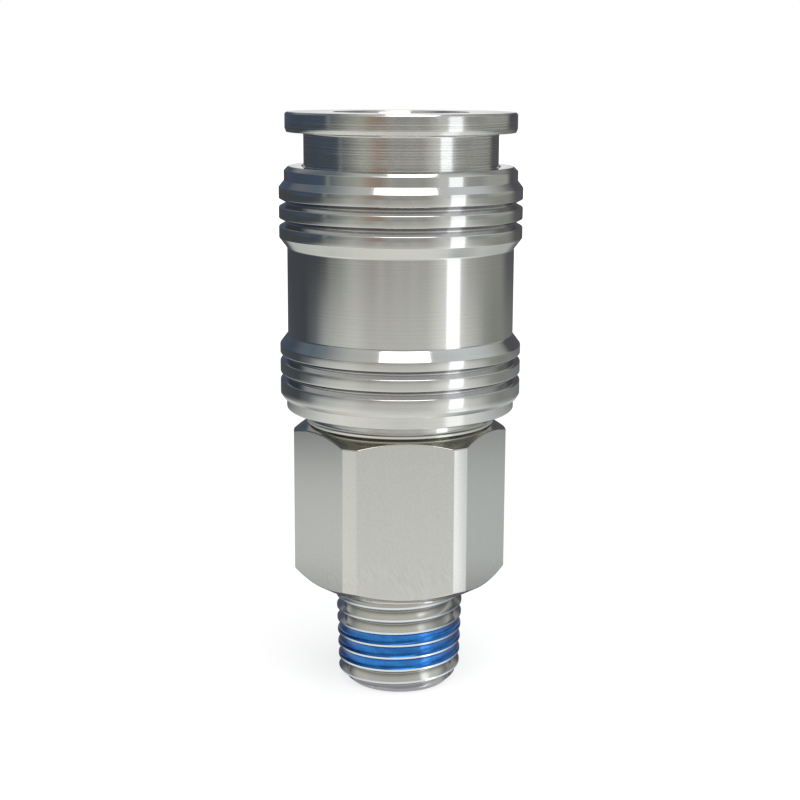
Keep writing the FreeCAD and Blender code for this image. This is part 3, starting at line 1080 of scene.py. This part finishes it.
def coatSection(s, t, base, wide, wave):
    # the coat's face from crest to crest, then two points of its keel inside the steel
    half = t["crest"] / 2 + s["crestGap"]
    width = t["pitch"] - 2 * half
    rim = s["across"]
    rimDepth = max(s["below"], threadDepth(t, half + width * (0.5 - 0.5 * wide)) - s["offSteel"])
    section = []
    for k in range(rim + 1):
        rise = half + width * (0.5 + (k / rim - 0.5) * wide)
        bowl = (4 * k / rim * (1 - k / rim)) ** s["sagPower"]
        depth = rimDepth + s["sag"] * (1 + s["waveShare"] * wave) * bowl * wide
        depth = min(depth, max(threadDepth(t, rise) - s["offSteel"], s["below"] * 0.5))
        section.append((crestLine(base + rise) - depth, base + rise))
    for side in (s["keelWidth"], -s["keelWidth"]):
        rise = half + width * (0.5 + side * wide)
        section.append((crestLine(base + rise) - threadDepth(t, rise) - s["keelDepth"], base + rise))
    return section


def makeSealant(s, t):
    first = math.radians(s["start"])
    whole = turn * s["turns"]
    steps = int(s["stepsPerTurn"] * s["turns"])
    offset = t["firstCrest"] + t["pitch"] * first / turn
    lift = offset + t["pitch"] * round((s["fromCrest"] - offset) / t["pitch"])
    points = []
    for i in range(steps + 1):
        angle = whole * i / steps
        ease = min(1, min(angle, whole - angle) / math.radians(s["taperDegrees"]))
        wide = s["tip"] + (1 - s["tip"]) * math.sqrt(ease * (2 - ease))  # both ends run out to a tip
        wave = sum(high * math.sin(angle * rate + phase) for high, rate, phase in s["waves"])
        section = coatSection(s, t, lift + t["pitch"] * angle / turn, wide, wave)
        points += [aboutAxis(radius, first + angle, height) for radius, height in section]
    size = len(section)
    faces = ringFaces(steps + 1, size)
    faces.append(list(range(size)))
    faces.append([steps * size + k for k in reversed(range(size))])
    piece = addPiece("sealant_coat", points, faces)
    smoothOver(piece, s["sharpFrom"])
    finishPiece(piece, sealantBlue, "barrel", "thread_sealant")


makeSealant(sealant, adapter)


# Springs: round wire, closed coils at both ends, ground flat on the seats

coil = {
    "gap": 0.06,
    "perTurn": 96,
    "sides": 20,
    "sharpFrom": 50,
}

sleeveSpring = {
    **coil,
    "name": "sleeve_coil",
    "node": "sleeve_spring",
    "body": "sleeve_spring_body",
    "joint": "sleeve_slide",
    "bottom": sleeve["floor"],
    "top": barrel["shoulder"],
    "inner": 7.7,
    "wire": 1.3,
    "turns": 3,
    "anchor": barrel["shoulder"],
    "travel": 3.0,
}

valveSpring = {
    **coil,
    "name": "valve_coil",
    "node": "valve_spring",
    "body": "barrel",
    "joint": "valve_slide",
    "bottom": adapter["socketFloor"],
    "top": 34.849,
    "inner": 4.2,
    "wire": 0.8,
    "turns": 4,
    "anchor": adapter["socketFloor"],
    "travel": 4.0,
}


def coilHeight(s, t):
    # height of the wire's middle after t turns
    closed = s["wire"] + s["gap"]
    total = s["turns"] + 2
    if t <= 1:
        return s["bottom"] + closed * t
    if t >= total - 1:
        return s["top"] - closed * (total - t)
    return s["bottom"] + closed + (s["top"] - s["bottom"] - 2 * closed) / s["turns"] * (t - 1)


def makeSpring(s):
    total = s["turns"] + 2
    half = s["wire"] / 2
    sides = s["sides"]
    count = s["perTurn"] * total
    points = []
    for i in range(count + 1):
        t = total * i / count
        for k in range(sides):
            b = turn * k / sides
            r = s["inner"] + half + half * math.cos(b)
            z = coilHeight(s, t) + half * math.sin(b)
            z = min(max(z, s["bottom"]), s["top"])  # ground ends
            points.append(aboutAxis(r, turn * t, z))
    faces = ringFaces(count + 1, sides)
    faces.append(list(reversed(range(sides))))
    faces.append([count * sides + k for k in range(sides)])
    piece = addPiece(s["name"], points, faces)
    smoothOver(piece, s["sharpFrom"])
    finishPiece(piece, springWire, s["body"], "spring_steel", s["node"])
    keep = 1 - s["travel"] / (s["top"] - s["bottom"])
    s["anchor"] * mm
    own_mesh(piece)


makeSpring(sleeveSpring)
makeSpring(valveSpring)


# Pieces whose shape comes straight from the frame

carriedOver = {
    "valve_poppet": turned,
    "plug_seal": rubber,
    "valve_seal": rubber,
    "body_seal": rubber,
    **{f"locking_ball_{ball}": ballSteel for ball in range(1, barrel["balls"] + 1)},
}
for node, finish in carriedOver.items():
    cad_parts[node].data.materials.clear()
    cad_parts[node].data.materials.append(finish)
print("frame pieces finished:", len(carriedOver))


# Camera, at the photograph's angle

camera = {
    "place": (-9.43, -163.6, 65.41),
    "pitch": 11.787,  # degrees downwards
    "roll": 0.254,
    "lens": 69.82,
    "sensor": 36,
    "nearest": 0.005,  # metres
    "farthest": 20,
}


def makeCamera(s):
    lens = bpy.data.cameras.new("photo camera")
    lens.lens = s["lens"]
    lens.sensor_width = s["sensor"]
    lens.clip_start = s["nearest"]
    lens.clip_end = s["farthest"]
    eye = bpy.data.objects.new("photo camera", lens)
    bpy.context.scene.collection.objects.link(eye)
    spot = Vector(s["place"]) * mm
    pitch = math.radians(s["pitch"])
    level = Vector((-spot.x, -spot.y, 0)).normalized()
    look = level * math.cos(pitch) - Vector((0, 0, math.sin(pitch)))
    aim = look.to_track_quat("-Z", "Y").to_matrix().to_4x4()
    eye.matrix_world = Matrix.Translation(spot) @ aim @ Matrix.Rotation(math.radians(s["roll"]), 4, "Z")
    bpy.context.scene.camera = eye
    return -look


towardsCamera = makeCamera(camera)
front = Vector((towardsCamera.x, towardsCamera.y, 0)).normalized()
right = Vector((-front.y, front.x, 0))


# Studio: pale sheet on the floor, a room seen in the steel, three lamps; metres
# Colours by bearing: degrees from the camera side, to the right

studio = {
    "floorReach": 0.93,
    "floorBack": 1.6,
    "paper": (0.46, 0.46, 0.455),
    "paperGlow": 0.72,
    "farGlow": 1.0,
    "glowFrom": 0.1,
    "glowTo": 0.45,
    # painted shadow on the floor under the object, seen only in the steel
    "under": (0.47, 0.47, 0.53),
    "underFrom": 0.006,
    "underTo": 0.011,
    "footFrom": 0.016,
    "footTo": 0.021,
    "apronFrom": 0.026,
    "apronTo": 0.055,
    "nearFrom": 0.095,
    "nearTo": 0.155,
    "farFrom": 0.18,
    "farTo": 0.42,
    # the floor as the steel shows it, ring by ring outwards: painted reflections, with painted shadow near
    # and under the object and bright painted bands of the side strip's light
    "foot": [
        (-180, (0.08, 0.085, 0.11)),
        (-108, (0.12, 0.13, 0.17)),
        (-93, (0.52, 0.53, 0.54)),
        (-78, (0.90, 0.90, 0.87)),
        (-50, (0.98, 0.975, 0.935)),
        (20, (0.98, 0.965, 0.92)),
        (33, (1.00, 0.99, 0.96)),
        (38, (2.15, 2.18, 2.22)),
        (46, (2.05, 2.08, 2.12)),
        (52, (1.20, 1.21, 1.22)),
        (70, (0.98, 0.99, 1.01)),
        (90, (0.50, 0.50, 0.55)),
        (120, (0.14, 0.14, 0.18)),
        (180, (0.08, 0.085, 0.11)),
    ],
    "apron": [
        (-180, (0.10, 0.105, 0.13)),
        (-112, (0.12, 0.13, 0.16)),
        (-97, (0.42, 0.43, 0.43)),
        (-82, (0.75, 0.75, 0.71)),
        (-60, (0.90, 0.89, 0.84)),
        (-20, (0.98, 0.965, 0.915)),
        (42, (0.98, 0.975, 0.95)),
        (63, (0.78, 0.79, 0.78)),
        (75, (0.50, 0.50, 0.51)),
        (95, (0.32, 0.32, 0.35)),
        (120, (0.18, 0.18, 0.21)),
        (180, (0.10, 0.105, 0.13)),
    ],
    "near": [
        (-180, (0.48, 0.49, 0.50)),
        (-150, (0.56, 0.57, 0.57)),
        (-113, (0.75, 0.77, 0.75)),
        (-60, (1.05, 1.04, 1.00)),
        (-30, (0.97, 0.96, 0.93)),
        (0, (0.88, 0.875, 0.85)),
        (30, (0.95, 0.945, 0.92)),
        (41, (1.00, 1.00, 0.98)),
        (47, (1.50, 1.52, 1.55)),
        (61, (1.50, 1.52, 1.55)),
        (66, (1.06, 1.08, 1.08)),
        (90, (0.82, 0.84, 0.83)),
        (127, (0.60, 0.63, 0.62)),
        (180, (0.48, 0.49, 0.50)),
    ],
    "middle": [
        (-180, (0.10, 0.105, 0.115)),
        (-110, (0.08, 0.09, 0.105)),
        (-93, (0.215, 0.23, 0.24)),
        (-80, (0.56, 0.58, 0.58)),
        (-67, (0.7, 0.71, 0.69)),
        (-55, (0.81, 0.81, 0.78)),
        (-43, (0.83, 0.83, 0.79)),
        (-32, (0.73, 0.725, 0.7)),
        (0, (0.735, 0.725, 0.7)),
        (25, (0.76, 0.755, 0.735)),
        (35, (0.95, 0.95, 0.93)),
        (45, (1.15, 1.15, 1.14)),
        (60, (1.05, 1.05, 1.04)),
        (67, (0.88, 0.88, 0.87)),
        (80, (0.7, 0.7, 0.68)),
        (93, (0.4, 0.41, 0.39)),
        (107, (0.31, 0.32, 0.31)),
        (125, (0.31, 0.32, 0.31)),
        (180, (0.10, 0.105, 0.115)),
    ],
    "far": [
        (-180, (0.07, 0.07, 0.08)),
        (-108, (0.08, 0.09, 0.105)),
        (-88, (0.085, 0.095, 0.105)),
        (-80, (0.115, 0.12, 0.13)),
        (-73, (0.255, 0.265, 0.25)),
        (-60, (0.36, 0.37, 0.35)),
        (-53, (0.48, 0.49, 0.46)),
        (-47, (0.565, 0.57, 0.535)),
        (-36, (0.52, 0.515, 0.485)),
        (-27, (0.48, 0.445, 0.42)),
        (-19, (0.56, 0.55, 0.52)),
        (-12, (0.50, 0.485, 0.46)),
        (-2, (0.57, 0.56, 0.535)),
        (6, (0.53, 0.525, 0.505)),
        (12, (0.59, 0.575, 0.545)),
        (20, (0.54, 0.53, 0.51)),
        (27, (0.57, 0.565, 0.545)),
        (36, (0.72, 0.72, 0.7)),
        (47, (0.95, 0.95, 0.94)),
        (60, (0.9, 0.9, 0.89)),
        (70, (0.56, 0.56, 0.55)),
        (84, (0.44, 0.44, 0.42)),
        (101, (0.36, 0.365, 0.345)),
        (119, (0.32, 0.325, 0.3)),
        (134, (0.14, 0.14, 0.15)),
        (180, (0.07, 0.07, 0.08)),
    ],
    # the room as the steel shows it, from the floor up
    "skirting": [
        (-180, (0.06, 0.08, 0.11)),
        (-121, (0.085, 0.11, 0.14)),
        (-97, (0.11, 0.145, 0.175)),
        (-86, (0.085, 0.115, 0.145)),
        (-77, (0.13, 0.16, 0.185)),
        (-64, (0.12, 0.13, 0.145)),
        (-56, (0.175, 0.18, 0.175)),
        (-48, (0.245, 0.245, 0.235)),
        (-37, (0.385, 0.38, 0.35)),
        (-29, (0.39, 0.27, 0.20)),
        (-20, (0.30, 0.235, 0.19)),
        (-10, (0.315, 0.32, 0.295)),
        (0, (0.265, 0.275, 0.255)),
        (9, (0.36, 0.36, 0.325)),
        (24, (0.37, 0.285, 0.225)),
        (33, (0.495, 0.485, 0.465)),
        (42, (0.74, 0.74, 0.74)),
        (62, (0.72, 0.72, 0.72)),
        (67, (0.4, 0.4, 0.4)),
        (84, (0.355, 0.37, 0.355)),
        (105, (0.41, 0.425, 0.4)),
        (118, (0.33, 0.335, 0.3)),
        (132, (0.22, 0.22, 0.2)),
        (140, (0.06, 0.06, 0.09)),
        (180, (0.07, 0.08, 0.1)),
    ],
    "walls": [
        (-180, (1, 1, 1)),
        (-176, (0.8, 0.8, 0.8)),
        (-173, (0.09, 0.11, 0.145)),
        (-120, (0.07, 0.095, 0.145)),
        (-92, (0.08, 0.11, 0.165)),
        (-79, (0.09, 0.115, 0.165)),
        (-75, (0.3, 0.32, 0.32)),
        (-71, (0.16, 0.19, 0.22)),
        (-62, (0.29, 0.3, 0.295)),
        (-52, (0.4, 0.41, 0.38)),
        (-40, (0.5, 0.5, 0.44)),
        (-30, (0.47, 0.355, 0.295)),
        (-20, (0.40, 0.315, 0.265)),
        (-10, (0.48, 0.465, 0.45)),
        (0, (0.42, 0.42, 0.41)),
        (12, (0.46, 0.46, 0.445)),
        (22, (0.44, 0.42, 0.39)),
        (30, (0.56, 0.55, 0.54)),
        (38, (0.76, 0.76, 0.75)),
        (62, (0.72, 0.72, 0.71)),
        (68, (0.44, 0.45, 0.45)),
        (82, (0.39, 0.4, 0.395)),
        (94, (0.48, 0.485, 0.465)),
        (124, (0.44, 0.445, 0.42)),
        (134, (0.11, 0.11, 0.13)),
        (173, (0.1, 0.1, 0.11)),
        (176, (0.8, 0.8, 0.8)),
        (180, (1, 1, 1)),
    ],
    "upper": [
        (-180, (0.42, 0.43, 0.44)),
        (-150, (0.34, 0.35, 0.37)),
        (-130, (0.19, 0.205, 0.235)),
        (-107, (0.15, 0.2, 0.26)),
        (-92, (0.27, 0.3, 0.33)),
        (-80, (0.44, 0.46, 0.47)),
        (-65, (0.62, 0.63, 0.62)),
        (-40, (0.66, 0.66, 0.64)),
        (0, (0.66, 0.66, 0.65)),
        (40, (0.72, 0.72, 0.73)),
        (80, (0.82, 0.85, 0.9)),
        (95, (0.75, 0.79, 0.84)),
        (107, (0.66, 0.68, 0.7)),
        (120, (0.48, 0.49, 0.48)),
        (132, (0.3, 0.3, 0.29)),
        (148, (0.36, 0.365, 0.37)),
        (180, (0.42, 0.43, 0.44)),
    ],
    "skirtingFrom": -0.042,
    "skirtingTo": -0.034,
    "upperFrom": 0.28,
    "upperTo": 0.50,
    "ceiling": (0.66, 0.66, 0.65),
    "ceilingFrom": 0.80,
    "ceilingTo": 0.97,
    "topLamp": {
        "height": 0.46,
        "ahead": 0.23,
        "aside": 0.030,
        "wide": 0.33,
        "deep": 0.28,
        "power": 0.74,
        "tint": (1, 1, 1),
    },
    "backLamp": {
        "height": 0.46,
        "ahead": 0.02,
        "aside": 0.045,
        "wide": 0.19,
        "deep": 0.14,
        "power": 0.20,
        "tint": (1, 1, 1),
    },
    "sideLamp": {
        "azimuth": 52,
        "distance": 0.135,
        "wide": 0.034,
        "deep": 0.10,
        "power": 0.0095,
        "tint": (0.88, 0.94, 1.0),
    },
}


def byBearing(shade, way, stops):
    # the colour that a list of stops gives at a direction or a place about the axis
    dot = {"operation": "DOT_PRODUCT"}
    ahead = shade.node("ShaderNodeVectorMath", dot, {0: way, 1: front}, out="Value")
    aside = shade.node("ShaderNodeVectorMath", dot, {0: way, 1: right}, out="Value")
    angle = shade.node("ShaderNodeMath", {"operation": "ARCTAN2"}, {0: aside, 1: ahead})
    ramp = [(degrees / 360 + 0.5, colour) for degrees, colour in stops]
    return shade.node("ShaderNodeValToRGB", {"stops": ramp}, {"Fac": angle / turn + 0.5})


def makeFloor(s):
    reach = s["floorReach"]
    back = s["floorBack"]
    corners = [(-reach, reach), (reach, reach), (reach, -back), (-reach, -back)]
    mesh = bpy.data.meshes.new("floor sheet")
    mesh.from_pydata([tuple(right * x + front * y) for x, y in corners], [], [(0, 1, 2, 3)])
    floor = bpy.data.objects.new("floor sheet", mesh)
    bpy.context.scene.collection.objects.link(floor)
    paper, shade = newFinish("white paper")
    direct = shade.node("ShaderNodeLightPath", out="Is Camera Ray")
    glossy = shade.node("ShaderNodeLightPath", out="Is Glossy Ray")
    through = shade.node("ShaderNodeLightPath", out="Is Transmission Ray")
    place = shade.node("ShaderNodeTexCoord", out="Object")
    distance = shade.node("ShaderNodeVectorMath", {"operation": "LENGTH"}, {0: place}, out="Value")
    # glossy rays see painted reflections: painted shadow under the object and painted light of the side
    # strip
    foot = byBearing(shade, place, s["foot"])
    seen = shade.blend(shade.span(distance, s["underFrom"], s["underTo"]), (*s["under"], 1), foot)
    for inner, outer in (("foot", "apron"), ("apron", "near"), ("near", "middle"), ("far", "far")):
        beyond = shade.span(distance, s[inner + "From"], s[inner + "To"])
        seen = shade.blend(beyond, seen, byBearing(shade, place, s[outer]))
    glow = shade.span(distance, s["glowFrom"], s["glowTo"], s["paperGlow"], s["farGlow"])
    bright = shade.blend(direct * glow, (0, 0, 0, 1), (1, 1, 1, 1))
    lit = shade.node("ShaderNodeBsdfDiffuse", {}, {"Color": (*s["paper"], 1)})
    white = shade.node("ShaderNodeEmission", {}, {"Color": bright, "Strength": 1.0})
    sheet = shade.node("ShaderNodeAddShader", {}, {0: lit, 1: white})
    mirrored = shade.node("ShaderNodeEmission", {}, {"Color": seen, "Strength": 1.0})
    both = shade.node("ShaderNodeMixShader", {}, {0: glossy + through, 1: sheet, 2: mirrored})
    shade.node("ShaderNodeOutputMaterial", {}, {"Surface": both})
    mesh.materials.append(paper)


def makeRoom(s):
    world = bpy.data.worlds.new("studio room")
    bpy.context.scene.world = world
    world.use_nodes = True
    shade = Shade(world.node_tree)
    way = shade.node("ShaderNodeTexCoord", out="Generated")
    up = shade.node("ShaderNodeSeparateXYZ", {}, {0: way}, out=2)
    room = byBearing(shade, way, s["skirting"])
    for level, start in (("walls", "skirting"), ("upper", "upper")):
        above = shade.span(up, s[start + "From"], s[start + "To"])
        room = shade.blend(above, room, byBearing(shade, way, s[level]))
    room = shade.blend(shade.span(up, s["ceilingFrom"], s["ceilingTo"]), room, (*s["ceiling"], 1))
    direct = shade.node("ShaderNodeLightPath", out="Is Camera Ray")
    seen = shade.node("ShaderNodeBackground", {}, {"Color": (1, 1, 1, 1), "Strength": 1.0})
    light = shade.node("ShaderNodeBackground", {}, {"Color": room, "Strength": 1.0})
    both = shade.node("ShaderNodeMixShader", {}, {0: direct, 1: light, 2: seen})
    shade.node("ShaderNodeOutputWorld", {}, {"Surface": both})


def makeLamp(name, spot, towards, s):
    lamp = bpy.data.lights.new(name, "AREA")
    lamp.shape = "RECTANGLE"
    lamp.size = s["wide"]
    lamp.size_y = s["deep"]
    lamp.energy = s["power"]
    lamp.color = s["tint"]
    box = bpy.data.objects.new(name, lamp)
    bpy.context.scene.collection.objects.link(box)
    aim = (towards - spot).to_track_quat("-Z", "Y").to_matrix().to_4x4()
    box.matrix_world = Matrix.Translation(spot) @ aim
    box.visible_camera = False


def makeLamps(s):
    for name in ("topLamp", "backLamp"):
        top = s[name]
        spot = front * top["ahead"] + right * top["aside"] + Vector((0, 0, top["height"]))
        makeLamp(name, spot, Vector((spot.x, spot.y, 0.0)), top)
    side = s["sideLamp"]
    a = math.radians(side["azimuth"])
    middle = Vector((0, 0, side["deep"] / 2))  # the strip stands on the floor
    spot = (front * math.cos(a) + right * math.sin(a)) * side["distance"] + middle
    makeLamp("side strip", spot, middle, side)


makeFloor(studio)
makeRoom(studio)
makeLamps(studio)
bpy.context.scene.view_settings.view_transform = "Standard"
print("studio ready")
